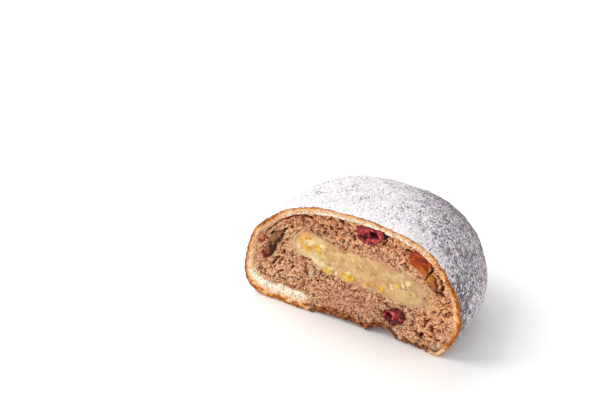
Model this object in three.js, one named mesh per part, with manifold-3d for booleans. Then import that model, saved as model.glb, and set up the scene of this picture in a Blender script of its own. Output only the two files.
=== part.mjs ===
// Half of a small round lemon stollen: a spiced bun in a thin dough wrapper under powdered sugar, cut
// through the middle, so that its lemon paste and its dried fruit show in the cut face.
//
// Millimetres. X runs along the cut, Y from the cut face to the back of the bun, Z up from its flat base.
import * as THREE from "three";
import { mergeVertices } from "three/addons/utils/BufferGeometryUtils.js";
import Module from "manifold-3d";

const wasm = await Module();
wasm.setup();

// The bun's outer form. The cut is at CUT_Y, and pieces are made a little past it and then cut off.
const HALF_WIDTH = 45;
const HALF_DEPTH = 47.7;
const HEIGHT = 48;
const CUT_Y = -23.2;
const PLAN_POWER = 2.35; // 2 would be an ellipse in plan, more is squarer
const TOP_LEAN = 5.25; // how far the top leans to the right
const DOME_OUT = { cut: 2.69, back: 2.8 }; // fullness of the dome outwards
const DOME_UP = { cut: 1.97, back: 2.4 }; // and upwards
const WAIST = { left: 6, right: 19.8, back: 9.8 }; // height of the widest level
const FOOT = { left: 10.5, right: 10.1, back: 10 }; // how far the base lies inside the widest level
const FOOT_SLANT = { left: 1, right: 2, back: 1 }; // 1 is a quarter ellipse, 2 a slanting parabola
const LUMPS = [
  { height: 0.5, pitch: 15, seed: 3 },
  { height: 0.25, pitch: 4.5, seed: 8 },
];
const LUMPS_CENTRE = new THREE.Vector3(0, 0, 14);
const LUMPS_FADE = 9; // lumps die out over this height above the base, which is flat

// The dough wrapper, the gap between neighbouring pieces, and the opening in the wrapper's underside
// that the crumb fills.
const WRAPPER = { left: 4.6, right: 3.7, back: 4, top: 3 };
const FLAP = { left: 7.6, right: 2.2, thinsFrom: -22, thinsTo: -8 };
const WAIST_OVER_FLAP = 4.5;
const GAP = 0.3;
const OPENING = { x: 7, halfWidth: 23, halfDepth: 34, height: 14 };

// Outlines in the cut face, as [x, z], clockwise from the left as seen from the front.
const FILLING = [
  [-22.2, 27.4], [-19.2, 33], [-14.4, 35.1], [-8, 33.9], [-1, 31.8], [6, 32.3], [13, 33],
  [19, 30.7], [26, 30], [30.8, 26], [31, 19.8], [26, 17.9], [15.5, 17.9], [6.5, 19],
  [-3, 19.5], [-10.5, 20.6], [-15.6, 23.6], [-19.8, 23.8],
];
const CRANBERRY_UPPER = [
  [5.1, 41.4], [6, 43.9], [9.5, 44.8], [14, 44.9], [17.6, 44.8], [18, 42.6], [15.4, 41], [12, 38],
  [8, 37.4], [5.6, 39.2],
];
const CRANBERRY_LOWER = [
  [13.4, 9.6], [14.8, 12.1], [18.4, 13.9], [21.6, 14.1], [22.7, 11.8], [21.4, 8.6], [18.2, 6.6],
  [15, 7.2],
];
const ORANGE_PEEL = [
  [25.2, 38], [26.6, 40.2], [29, 41.3], [31.6, 41], [33.8, 39.3], [35.2, 37.5], [33.4, 35.6],
  [33, 32.8], [30.9, 31.7], [29.6, 33.4], [26.8, 34.8],
];
const SULTANA = [
  [32.2, 31], [33.6, 33.6], [35.2, 33.4], [36.2, 31], [36.5, 28.6], [34.4, 26.6], [32.4, 28.4],
];
const RAISIN = [
  [-34.1, 22.6], [-32, 27], [-29, 30.6], [-25.4, 32.1], [-25.9, 29.6], [-28.2, 26.2],
  [-30.6, 21.8], [-33.6, 17.5], [-35.8, 17.3],
];
const CRANBERRY_SCRAP = [
  [-37.4, 24.2], [-36.6, 26.4], [-34.6, 28.2], [-34.2, 26.4], [-35.8, 23.6],
];
const CREVICE = [
  [-31.8, 31.4], [-29.6, 37], [-23, 42.4], [-15, 45], [-14.8, 42.2], [-19.4, 40.8], [-26, 35.8],
];

// Candied peel in the lemon paste: place in the cut face, half length, and turn in degrees.
const PEEL_BITS = [
  [-18.1, 31.4, 2.1, 35], [-15.1, 28.3, 2, -10], [-11.3, 28.3, 1.3, 70], [-9.7, 31.8, 1.3, 20],
  [-7.4, 22, 1.4, -25], [-0.6, 21.6, 1.8, -15], [2.6, 21.8, 1.4, 50], [15.6, 21.2, 1.6, 10],
  [19, 21.6, 1.1, 60], [9.5, 29.4, 1.1, -40], [22.6, 26, 1.3, 15], [26.4, 23.4, 1.1, -60],
  [-4.6, 26.6, 1, 25], [6, 25, 1.1, 80],
];
const PEEL_THICKNESS = 0.9;

// Where the base has crumbled away under the cut edge: middle, half width and height of each hollow.
const CRUMBLED = [
  { x: -3, halfWidth: 13.5, height: 2.6 },
  { x: 12.2, halfWidth: 6.2, height: 3.3 },
];
const CRUMBLED_DEPTH = 8;

// How rough each piece is where the knife went through it. offset is how far its face lies behind the
// cut plane, the layers of noise add to it, and mesh is the width of the face's triangles.
const KNIFE_WAVE = { height: 0.4, pitch: 11, seed: 21 };
const CUT_FACES = {
  wrapper: { offset: 0, mesh: 2, noise: [KNIFE_WAVE, { height: 0.15, pitch: 3, seed: 5 }] },
  crumb: {
    offset: 0.8,
    mesh: 1.7,
    noise: [KNIFE_WAVE, { height: 0.9, pitch: 4.2, seed: 31 }, { height: 0.7, pitch: 2.5, seed: 32 }],
  },
  paste: { offset: -0.2, mesh: 1.7, noise: [KNIFE_WAVE, { height: 0.35, pitch: 4, seed: 41 }] },
  fruit: { offset: -0.1, mesh: 1.2, noise: [KNIFE_WAVE, { height: 0.6, pitch: 2.4, seed: 51 }] },
};

// How finely the round forms are divided, round and from end to end.
const CRUST_MESH = { round: 60, long: 32 };
const INNER_MESH = { round: 36, long: 20 };
const PASTE_MESH = { round: 36, long: 12 };
const FRUIT_MESH = { round: 16, long: 8 };

const { clamp, degToRad, lerp: mix, smoothstep } = THREE.MathUtils;
const power = (value, exponent) => Math.abs(value) ** exponent;

// Random value from -1 to 1 for a point of a cubic lattice, always the same for the same point.
function latticeValue(i, j, k, seed) {
  let hash = Math.imul(i, 374761393) + Math.imul(j, 668265263);
  hash = (hash + Math.imul(k, 1440662683) + Math.imul(seed, 1274126177)) | 0;
  hash = Math.imul(hash ^ (hash >>> 13), 1274126177);
  return ((hash ^ (hash >>> 16)) >>> 0) / 2 ** 31 - 1;
}

// Lattice values blended smoothly between the eight corners round a point.
function noise(x, y, z, pitch, seed) {
  const scaled = [x, y, z].map((value) => value / pitch);
  const cell = scaled.map(Math.floor);
  const blend = scaled.map((value, axis) => smoothstep(value - cell[axis], 0, 1));
  let sum = 0;
  for (let corner = 0; corner < 8; corner++) {
    const step = [corner & 1, (corner >> 1) & 1, corner >> 2];
    const weights = step.map((side, axis) => (side ? blend[axis] : 1 - blend[axis]));
    const value = latticeValue(cell[0] + step[0], cell[1] + step[1], cell[2] + step[2], seed);
    sum += weights[0] * weights[1] * weights[2] * value;
  }
  return sum;
}

function layeredNoise(layers, x, y, z) {
  return layers.reduce((sum, { height, pitch, seed }) => sum + height * noise(x, y, z, pitch, seed), 0);
}

// Moves every vertex of a geometry to where place() puts it.
function reshape(geometry, place) {
  const position = geometry.getAttribute("position");
  const vertex = new THREE.Vector3();
  for (let i = 0; i < position.count; i++) {
    place(vertex.fromBufferAttribute(position, i));
    position.setXYZ(i, vertex.x, vertex.y, vertex.z);
  }
  return geometry;
}

function solidOf(geometry) {
  const bare = new THREE.BufferGeometry();
  bare.setAttribute("position", geometry.getAttribute("position"));
  bare.setIndex(geometry.getIndex());
  const merged = mergeVertices(bare);
  const vertProperties = merged.getAttribute("position").array;
  const triVerts = new Uint32Array(merged.getIndex().array);
  return new wasm.Manifold(new wasm.Mesh({ numProp: 3, vertProperties, triVerts }));
}

// The main body of a solid, without the loose scraps that a cut leaves.
function mainBody(solid) {
  const bodies = solid.decompose();
  return bodies.reduce((largest, body) => (body.volume() > largest.volume() ? body : largest));
}

// How far a layer of the bun lies inside its outer form: not at all for the crust, and for what lies
// inside the wrapper, by the wrapper's thickness and a clearance.
const CRUST = { left: 0, right: 0, back: 0, top: 0, flap: () => 0, waistOverFlap: 0 };

function insideWrapper(clearance) {
  const { left, right, back, top } = WRAPPER;
  return {
    left: left + clearance,
    right: right + clearance,
    back: back + clearance,
    top: top + clearance,
    flap: (x) => mix(FLAP.left, FLAP.right, smoothstep(x, FLAP.thinsFrom, FLAP.thinsTo)) + clearance,
    waistOverFlap: WAIST_OVER_FLAP,
  };
}

// A point of a layer of the bun. turn goes round in plan from the right. rise goes from -1 at the edge of
// the base, through 0 at the widest level, to 1 at the top. The plan is a superellipse, and so is each
// upright section above the widest level; the foot below it goes from a quarter ellipse to a parabola.
function bunPoint(turn, rise, layer) {
  const across = Math.cos(turn);
  const along = Math.sin(turn);
  const back = along ** 2;
  const around = (sizes) => mix(mix(sizes.left, sizes.right, (1 + across) / 2), sizes.back, back);
  const reach = (power(across, PLAN_POWER) + power(along, PLAN_POWER)) ** (-1 / PLAN_POWER);
  const x = (HALF_WIDTH - around(layer)) * reach * across;
  const y = (HALF_DEPTH - around(layer)) * reach * along;
  const waist = Math.max(around(WAIST), layer.flap(x) + layer.waistOverFlap);
  const angle = (Math.abs(rise) * Math.PI) / 2;
  if (rise >= 0) {
    const out = power(Math.cos(angle), 2 / mix(DOME_OUT.cut, DOME_OUT.back, back));
    const up = power(Math.sin(angle), 2 / mix(DOME_UP.cut, DOME_UP.back, back));
    const lean = TOP_LEAN * Math.sin(angle) ** 2;
    return new THREE.Vector3(x * out + lean, y * out, mix(waist, HEIGHT - layer.top, up));
  }
  const narrowed = 1 - power(Math.cos(angle), around(FOOT_SLANT));
  const out = 1 - (around(FOOT) / HALF_WIDTH) * narrowed;
  return new THREE.Vector3(x * out, y * out, mix(waist, layer.flap(x * out), Math.sin(angle)));
}

// The whole bun down to one of its layers: a sphere whose upper half becomes the dome, whose next eighth
// becomes the foot and whose last eighth becomes the flat base.
function bun(layer, { round, long }) {
  const sphere = new THREE.SphereGeometry(1, round, long);
  sphere.rotateX(Math.PI / 2);
  reshape(sphere, (vertex) => {
    const turn = Math.atan2(vertex.y, vertex.x);
    const fall = Math.acos(clamp(vertex.z, -1, 1)) / Math.PI;
    const rise = fall < 0.5 ? 1 - 2 * fall : 2 - 4 * fall;
    vertex.copy(bunPoint(turn, Math.max(rise, -1), layer));
    if (rise < -1) {
      vertex.multiplyScalar(2 + rise);
      vertex.z = layer.flap(vertex.x);
    }
    const fade = smoothstep(vertex.z - layer.flap(vertex.x), 0, LUMPS_FADE);
    const outwards = vertex.clone().sub(LUMPS_CENTRE).normalize();
    const sample = outwards.clone().multiplyScalar(HALF_WIDTH);
    vertex.addScaledVector(outwards, fade * layeredNoise(LUMPS, sample.x, sample.y, sample.z));
    vertex.y += CUT_Y;
  });
  return solidOf(sphere);
}

// What the knife took away in front of a piece: a block whose back is the piece's rough cut face.
const KNIFE = { x: 0, z: 24, width: 100, height: 60, depth: 60 };

function knife(face, { x, z, width, height } = KNIFE) {
  const [columns, rows] = [width, height].map((size) => Math.round(size / face.mesh));
  const block = new THREE.BoxGeometry(width, KNIFE.depth, height, columns, 1, rows);
  block.translate(x, CUT_Y - KNIFE.depth / 2, z);
  reshape(block, (vertex) => {
    if (vertex.y < CUT_Y - 1) return;
    vertex.y = CUT_Y + face.offset + layeredNoise(face.noise, vertex.x, 0, vertex.z);
  });
  return solidOf(block);
}

// A morsel in the cut face: its outline there, drawn together to a rounded end behind the cut and a
// shorter one in front of it. It can be grown, to cut its own pocket with a gap.
const FRONT_REACH = 4;

function morsel({ outline, depth, fullness = 1, mesh = FRUIT_MESH }, grow = 0) {
  const curve = new THREE.CatmullRomCurve3(outline.map(([x, z]) => new THREE.Vector3(x, 0, z)), true);
  const centre = curve.points.reduce((sum, point) => sum.add(point), new THREE.Vector3());
  centre.divideScalar(outline.length);
  const sphere = new THREE.SphereGeometry(1, mesh.round, mesh.long);
  reshape(sphere, (vertex) => {
    const part = Math.atan2(vertex.z, -vertex.x) / (2 * Math.PI);
    const ray = curve.getPoint((part + 1) % 1).sub(centre);
    const narrow = power(Math.hypot(vertex.x, vertex.z), fullness);
    ray.setLength(ray.length() + grow).multiplyScalar(narrow);
    const y = CUT_Y + vertex.y * (vertex.y > 0 ? depth + grow : FRONT_REACH);
    vertex.set(centre.x + ray.x, y, centre.z + ray.z);
  });
  return solidOf(sphere);
}

// A bit of candied peel that lies in the face of the paste, as a small rounded chip.
function peelBit([x, z, halfLength, turn]) {
  const chip = new THREE.OctahedronGeometry(1, 1);
  chip.scale(halfLength, PEEL_THICKNESS, halfLength * 0.6);
  chip.rotateY(degToRad(turn));
  const { offset, noise: layers } = CUT_FACES.paste;
  chip.translate(x, CUT_Y + offset + layeredNoise(layers, x, 0, z), z);
  return solidOf(chip);
}

// A rounded hollow in the cut face.
function hollow(x, z, halfWidth, halfHeight, depth) {
  const bowl = new THREE.SphereGeometry(1, 16, 10);
  bowl.scale(halfWidth, depth, halfHeight);
  bowl.translate(x, CUT_Y, z);
  return solidOf(bowl);
}

// A place where the base has crumbled away under the cut edge.
function crumbledHollow({ x, halfWidth, height }) {
  return hollow(x, -1, halfWidth, height + 1, CRUMBLED_DEPTH);
}

// The block that fills the opening in the wrapper's underside, drawn in by a clearance.
function openingBlock(clearance, bottom) {
  const block = new THREE.CylinderGeometry(1, 1, OPENING.height - bottom, 40);
  block.rotateX(Math.PI / 2);
  block.scale(OPENING.halfWidth - clearance, OPENING.halfDepth - clearance, 1);
  block.translate(OPENING.x, CUT_Y, (OPENING.height + bottom) / 2);
  return solidOf(block);
}

// The dried fruit in the crumb: outline, how deep it reaches behind the cut, colour, and the hollows that
// the berries' empty seed chambers leave, as [x, z, half width, half height, depth].
const FRUITS = [
  {
    name: "cranberry_upper",
    outline: CRANBERRY_UPPER,
    depth: 5,
    color: 0x9c2338,
    hollows: [[12, 42.2, 1.9, 1.5, 2.6], [8.4, 39.9, 1.4, 0.8, 1.6]],
  },
  {
    name: "cranberry_lower",
    outline: CRANBERRY_LOWER,
    depth: 4.5,
    color: 0x7d2438,
    hollows: [[16.6, 10.8, 1.3, 1, 1.5]],
  },
  { name: "orange_peel", outline: ORANGE_PEEL, depth: 5, color: 0xbf5f28, hollows: [] },
  { name: "sultana", outline: SULTANA, depth: 3.5, color: 0xa9824f, hollows: [] },
  { name: "raisin", outline: RAISIN, depth: 5, color: 0x5b4036, hollows: [] },
  { name: "cranberry_scrap", outline: CRANBERRY_SCRAP, depth: 2.5, color: 0x8a3d3a, hollows: [] },
];
const PASTE = { outline: FILLING, depth: 25, fullness: 0.8, mesh: PASTE_MESH };
const CRACK = { outline: CREVICE, depth: 6 };

const subtractAll = (solid, removed) => removed.reduce((left, piece) => left.subtract(piece), solid);
const crumbSpace = bun(insideWrapper(GAP), INNER_MESH);

function crumbSolid() {
  const pockets = [...FRUITS, PASTE].map((piece) => morsel(piece, GAP));
  const hollows = [morsel(CRACK), ...CRUMBLED.map(crumbledHollow)];
  const whole = crumbSpace.add(openingBlock(GAP / 2, 0));
  return mainBody(subtractAll(whole, [knife(CUT_FACES.crumb), ...pockets, ...hollows]));
}

function wrapperSolid() {
  const skin = bun(CRUST, CRUST_MESH).subtract(bun(insideWrapper(0), INNER_MESH));
  const opening = openingBlock(-GAP / 2, -OPENING.height);
  return mainBody(subtractAll(skin, [opening, knife(CUT_FACES.wrapper)]));
}

function fillingSolid() {
  const paste = morsel(PASTE).subtract(knife(CUT_FACES.paste));
  return mainBody(PEEL_BITS.reduce((solid, bit) => solid.add(peelBit(bit)), paste));
}

function fruitSolid(fruit) {
  const hollows = fruit.hollows.map((sizes) => hollow(...sizes));
  const cut = subtractAll(morsel(fruit), [knife(CUT_FACES.fruit), ...hollows]);
  return mainBody(cut.intersect(crumbSpace));
}

const stollen = new THREE.Group();

function addPiece(name, solid, material) {
  const { vertProperties, triVerts } = solid.getMesh();
  const geometry = new THREE.BufferGeometry();
  geometry.setAttribute("position", new THREE.BufferAttribute(vertProperties, 3));
  geometry.setIndex(new THREE.BufferAttribute(triVerts, 1));
  geometry.computeVertexNormals();
  const mesh = new THREE.Mesh(geometry, new THREE.MeshStandardMaterial({ metalness: 0, ...material }));
  mesh.name = name;
  stollen.add(mesh);
}

addPiece("sugared_wrapper", wrapperSolid(), { color: 0xe9e7e9, roughness: 0.95 });
addPiece("spiced_crumb", crumbSolid(), { color: 0xa9805f, roughness: 0.95 });
addPiece("lemon_filling", fillingSolid(), { color: 0xdcbf80, roughness: 0.5 });
FRUITS.forEach((fruit) => addPiece(fruit.name, fruitSolid(fruit), { color: fruit.color, roughness: 0.4 }));

export default stollen;
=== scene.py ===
import bmesh
import bpy
import numpy as np
from mathutils import Matrix, Vector


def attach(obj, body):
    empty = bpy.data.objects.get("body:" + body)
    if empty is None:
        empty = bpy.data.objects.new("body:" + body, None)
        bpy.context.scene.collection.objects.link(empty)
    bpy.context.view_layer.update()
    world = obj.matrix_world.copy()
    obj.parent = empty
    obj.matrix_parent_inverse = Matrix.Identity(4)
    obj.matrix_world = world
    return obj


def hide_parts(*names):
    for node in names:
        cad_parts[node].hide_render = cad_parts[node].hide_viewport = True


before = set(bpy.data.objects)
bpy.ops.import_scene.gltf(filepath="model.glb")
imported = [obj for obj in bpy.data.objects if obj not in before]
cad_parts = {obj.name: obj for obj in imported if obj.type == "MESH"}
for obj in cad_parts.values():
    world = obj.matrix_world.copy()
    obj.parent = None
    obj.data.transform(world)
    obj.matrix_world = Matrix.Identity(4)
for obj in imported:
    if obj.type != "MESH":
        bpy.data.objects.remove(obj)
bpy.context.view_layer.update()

# The dough wrapper: a thin yeast dough skin, baked golden outside and left cream inside, then rolled in
# powdered sugar. The knife shows its edge as a golden line and a cream band; under the left end it
# folds in as a thick pale flap. All lengths are in millimetres until a mesh is made.
CUT_Y = -23.2
HALF_WIDTH = 45.0
HALF_DEPTH = 47.7
HEIGHT = 48.0
PLAN_POWER = 2.35
TOP_LEAN = 5.25
DOME_OUT = {"cut": 2.69, "back": 2.8}
DOME_UP = {"cut": 1.97, "back": 2.4}
WAIST = {"left": 6.0, "right": 19.8, "back": 9.8}
FOOT = {"left": 10.5, "right": 10.1, "back": 10.0}
FOOT_SLANT = {"left": 1.0, "right": 2.0, "back": 1.0}
LUMPS = [(0.5, 15.0, 3), (0.25, 4.5, 8)]
KNIFE_WAVE = (0.4, 11.0, 21)
OPENING = {"x": 7.0, "half_width": 23.0, "half_depth": 34.0}
CRUST = {"left": 0.0, "right": 0.0, "back": 0.0, "top": 0.0, "flap": (0.0, 0.0), "over_flap": 0.0}
CREASE = [[18.0, 15.4], [23.0, 12.3], [28.8, 7.6]]
SEAM = [[-40.4, 3.6], [-37.6, 2.5]]
SPLIT = [[-33, 30], [-30, 32.6], [-25.8, 36.3], [-21, 39.1], [-18.5, 40.5]]
RIM_DIP = 1.15
STROKE = (0.11, 0.68, 0.725)
INSIDE = {"left": 4.6, "right": 3.7, "back": 4.0, "top": 3.0, "flap": (7.6, 2.2), "over_flap": 4.5}


def smooth(value):
    """0 below 0, 1 above 1, and 3v^2 - 2v^3 between."""
    v = np.clip(value, 0.0, 1.0)
    return v * v * (3.0 - 2.0 * v)


def rise(value, start, width):
    """A smooth step from 0 at start to 1 at start + width."""
    return smooth((value - start) / width)


def fall(value, start, width):
    """A smooth step from 1 at start to 0 at start + width."""
    return 1.0 - rise(value, start, width)


def mix(low, high, share):
    """low + (high - low) * share."""
    return low + (high - low) * share


def lattice_value(i, j, k, seed):
    """A random value from -1 to 1 for each point of a cubic lattice, always the same for that point."""
    i, j, k = (np.asarray(v).astype(np.int64).astype(np.uint32) for v in (i, j, k))
    mixed = i * np.uint32(374761393) + j * np.uint32(668265263) + k * np.uint32(1440662683)
    mixed = mixed + np.uint32(seed * 1274126177 % 2**32)
    mixed = (mixed ^ (mixed >> np.uint32(13))) * np.uint32(1274126177)
    return (mixed ^ (mixed >> np.uint32(16))) / 2.0**31 - 1.0


def noise(x, y, z, pitch, seed):
    """Lattice values of this pitch, blended between the eight corners round a point by smooth steps."""
    scaled = np.stack(np.broadcast_arrays(x, y, z)) / pitch
    cell = np.floor(scaled)
    share = smooth(scaled - cell)
    total = 0.0
    for corner in np.ndindex(2, 2, 2):
        weight = np.prod([share[n] if corner[n] else 1.0 - share[n] for n in range(3)], axis=0)
        total = total + weight * lattice_value(*(cell[n] + corner[n] for n in range(3)), seed)
    return total


def layered(layers, x, y, z):
    """The sum of height times noise over layers of (height, pitch, seed)."""
    return sum(height * noise(x, y, z, pitch, seed) for height, pitch, seed in layers)


def around(sizes, turn):
    """A size that changes round the bun: left to right by the cosine, then to the back by the sine^2."""
    side = mix(sizes["left"], sizes["right"], (1.0 + np.cos(turn)) / 2.0)
    return mix(side, sizes["back"], np.sin(turn) ** 2)


def flap_height(x, layer):
    """The flap's thickness at x: the left value, thinning by a smooth step from x -22 to -8."""
    return mix(layer["flap"][0], layer["flap"][1], rise(x, -22.0, 14.0))


def bun_layer(layer, turn, dome_rows, foot_rows, edge_rows, opening=OPENING):
    """Points of a layer of the half bun, rows from the top to the opening in its base, columns by turn.

    In plan a superellipse. Each section of the dome is out^n + up^m = 1, and leans by TOP_LEAN times
    1 - out^n. The foot narrows by 1 - cos^FOOT_SLANT, and the last rows run to the opening's ellipse.
    """
    turn = turn[None, :]
    across, along = np.cos(turn), np.sin(turn)
    reach = (np.abs(across) ** PLAN_POWER + np.abs(along) ** PLAN_POWER) ** (-1.0 / PLAN_POWER)
    x = (HALF_WIDTH - around(layer, turn)) * reach * across
    y = (HALF_DEPTH - around(layer, turn)) * reach * along
    waist = np.maximum(around(WAIST, turn), flap_height(x, layer) + layer["over_flap"])
    out = np.sin(np.linspace(0.0, np.pi / 2.0, dome_rows))[:, None]
    full = np.clip(1.0 - out ** mix(DOME_OUT["cut"], DOME_OUT["back"], along**2), 0.0, 1.0)
    up = full ** (1.0 / mix(DOME_UP["cut"], DOME_UP["back"], along**2))
    dome = np.stack([x * out + TOP_LEAN * full, y * out, mix(waist, HEIGHT - layer["top"], up)])
    sink = np.minimum(np.linspace(0.0, np.pi / 2.0, foot_rows + 1)[1:, None], np.pi / 2.0 - 1e-9)
    narrow = 1.0 - around(FOOT, turn) / HALF_WIDTH * (1.0 - np.cos(sink) ** around(FOOT_SLANT, turn))
    low = flap_height(x * narrow, layer)
    foot = np.stack([x * narrow, y * narrow, mix(waist, low, np.sin(sink))])
    share = np.linspace(0.0, 1.0, edge_rows + 1)[1:, None]
    edge_x = mix(foot[0, -1:], opening["x"] + opening["half_width"] * across, share)
    edge_y = mix(foot[1, -1:], opening["half_depth"] * along, share)
    edge = np.stack([edge_x, edge_y, flap_height(edge_x, layer)])
    return add_lumps(np.concatenate([dome, foot, edge], axis=1), layer)


def add_lumps(p, layer):
    """Moves points away from (0, 0, 14) by the lumps' noise, fading in over 9 mm above the base."""
    outwards = p - np.array([0.0, 0.0, 14.0])[:, None, None]
    outwards = outwards / np.linalg.norm(outwards, axis=0)
    fade = rise(p[2], flap_height(p[0], layer), 9.0)
    return p + outwards * fade * layered(LUMPS, *(outwards * HALF_WIDTH))


def grid_triangles(index):
    """Two triangles for each cell of a grid of vertex numbers."""
    a, b, c, d = index[:-1, :-1], index[1:, :-1], index[1:, 1:], index[:-1, 1:]
    halves = [np.stack([a, b, c], -1), np.stack([a, c, d], -1)]
    return np.concatenate([half.reshape(-1, 3) for half in halves])


def zip_triangles(fine, coarse):
    """Triangles between two rows of vertex numbers: each step of one row has the nearest of the other."""
    steps = np.arange(len(fine) - 1)
    near = np.rint((steps + 0.5) / (len(fine) - 1) * (len(coarse) - 1)).astype(int)
    back = np.arange(len(coarse) - 1)
    seam = np.searchsorted(near, back, side="right")
    first = np.stack([fine[steps], coarse[near], fine[steps + 1]], -1)
    return np.concatenate([first, np.stack([coarse[back], coarse[back + 1], fine[seam]], -1)])


def number_blocks(blocks):
    """All points of some grids of points, the number where each grid starts, and its grid of numbers."""
    points = np.concatenate([block.reshape(3, -1) for block in blocks], axis=1)
    start = np.cumsum([0] + [block[0].size for block in blocks])
    grids = [first + np.arange(block[0].size).reshape(block.shape[1:]) for first, block in zip(start, blocks)]
    return points, start, grids


def make_piece(name, points, triangles, material, slot, node, **masks):
    """A closed mesh in metres from points in millimetres, with each mask as an attribute of its points."""
    corner = np.sort(triangles, axis=1)
    triangles = triangles[(corner[:, 0] != corner[:, 1]) & (corner[:, 1] != corner[:, 2])]
    used, numbers = np.unique(triangles, return_inverse=True)
    points = points.reshape(3, -1).T[used] + np.array([0.0, CUT_Y, 0.0])
    mesh = bpy.data.meshes.new(name)
    mesh.vertices.add(len(used))
    mesh.vertices.foreach_set("co", (points * 0.001).astype(np.float32).ravel())
    mesh.loops.add(triangles.size)
    mesh.loops.foreach_set("vertex_index", numbers.ravel().astype(np.int32))
    mesh.polygons.add(len(triangles))
    mesh.polygons.foreach_set("loop_start", np.arange(0, triangles.size, 3, dtype=np.int32))
    mesh.update(calc_edges=True)
    shaped = bmesh.new()
    shaped.from_mesh(mesh)
    bmesh.ops.recalc_face_normals(shaped, faces=shaped.faces)
    shaped.to_mesh(mesh)
    shaped.free()
    for title, values in masks.items():
        layer = mesh.attributes.new(title, "FLOAT", "POINT")
        layer.data.foreach_set("value", values.ravel()[used].astype(np.float32))
    mesh.shade_smooth()
    mesh.materials.append(material)
    piece = bpy.data.objects.new(name, mesh)
    bpy.context.scene.collection.objects.link(piece)
    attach(piece, "root")
    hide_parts(node)


def paint(red, green, blue):
    """A colour given as screen values from 0 to 255, as the linear values that a shader takes."""
    screen = np.array([red, green, blue]) / 255.0
    linear = np.where(screen <= 0.04045, screen / 12.92, ((screen + 0.055) / 1.055) ** 2.4)
    return (*linear.tolist(), 1.0)


def finish(name, **sockets):
    """A material whose Principled BSDF has these constants, and its node tree."""
    material = bpy.data.materials.new(name)
    material.use_nodes = True
    shader = material.node_tree.nodes["Principled BSDF"]
    for title, value in sockets.items():
        shader.inputs[title.replace("_", " ")].default_value = value
    return material, material.node_tree


def add(tree, kind, *inputs, **settings):
    """A node with these options, whose first inputs take these numbers, colours or other outputs."""
    node = tree.nodes.new(kind)
    for title, value in settings.items():
        setattr(node, title, value)
    for socket, value in zip([s for s in node.inputs if s.enabled], inputs):
        if isinstance(value, bpy.types.NodeSocket):
            tree.links.new(value, socket)
        elif value is not None:
            socket.default_value = value
    return node


def mask(tree, name):
    """The value of one of the piece's own attributes."""
    return add(tree, "ShaderNodeAttribute", attribute_name=name).outputs["Fac"]


def place_on(tree):
    """The Object coordinates."""
    return add(tree, "ShaderNodeTexCoord").outputs["Object"]


def grain(tree, size, detail=2.0, roughness=0.55, place=None):
    """Noise from 0 to 1 whose features are this many millimetres across, on Object coordinates or place."""
    place = place_on(tree) if place is None else place
    return add(tree, "ShaderNodeTexNoise", place, 1000.0 / size, detail, roughness).outputs["Fac"]


def strokes(tree, size, detail, roughness):
    """The same noise drawn out to twice its length along STROKE, a direction of length 1."""
    place = place_on(tree)
    along = add(tree, "ShaderNodeVectorMath", place, STROKE, operation="DOT_PRODUCT").outputs["Value"]
    back = add(tree, "ShaderNodeVectorMath", STROKE, times(tree, along, -0.5), operation="SCALE")
    drawn = add(tree, "ShaderNodeVectorMath", place, back.outputs["Vector"], operation="ADD")
    return grain(tree, size, detail, roughness, drawn.outputs["Vector"])


def ramp(tree, value, low, high, to_low=0.0, to_high=1.0):
    """A smooth step from to_low where value is low to to_high where it is high."""
    range_of = low, high, to_low, to_high
    node = add(tree, "ShaderNodeMapRange", value, *range_of, interpolation_type="SMOOTHSTEP")
    return node.outputs["Result"]


def maths(tree, operation, first, second=0.0):
    """The result of one sum on two values."""
    return add(tree, "ShaderNodeMath", first, second, operation=operation).outputs["Value"]


def plus(tree, first, second):
    """first + second."""
    return maths(tree, "ADD", first, second)


def times(tree, first, second):
    """first * second."""
    return maths(tree, "MULTIPLY", first, second)


def ragged(tree, name, size, height, detail=2.0):
    """One of the piece's attributes plus height times noise of this size, so that a step in it is ragged."""
    return plus(tree, mask(tree, name), times(tree, grain(tree, size, detail), height))


def blend(tree, share, low, high, way="MIX"):
    """One colour laid over another, by share."""
    return add(tree, "ShaderNodeMix", share, low, high, data_type="RGBA", blend_type=way).outputs[2]


def surface(tree, colour, height, distance):
    """Gives the shader its colour and, as bump, a height in distances of this many millimetres."""
    shader = tree.nodes["Principled BSDF"]
    bump = add(tree, "ShaderNodeBump", None, distance * 0.001, None, height)
    tree.links.new(colour, shader.inputs["Base Color"])
    tree.links.new(bump.outputs["Normal"], shader.inputs["Normal"])


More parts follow.
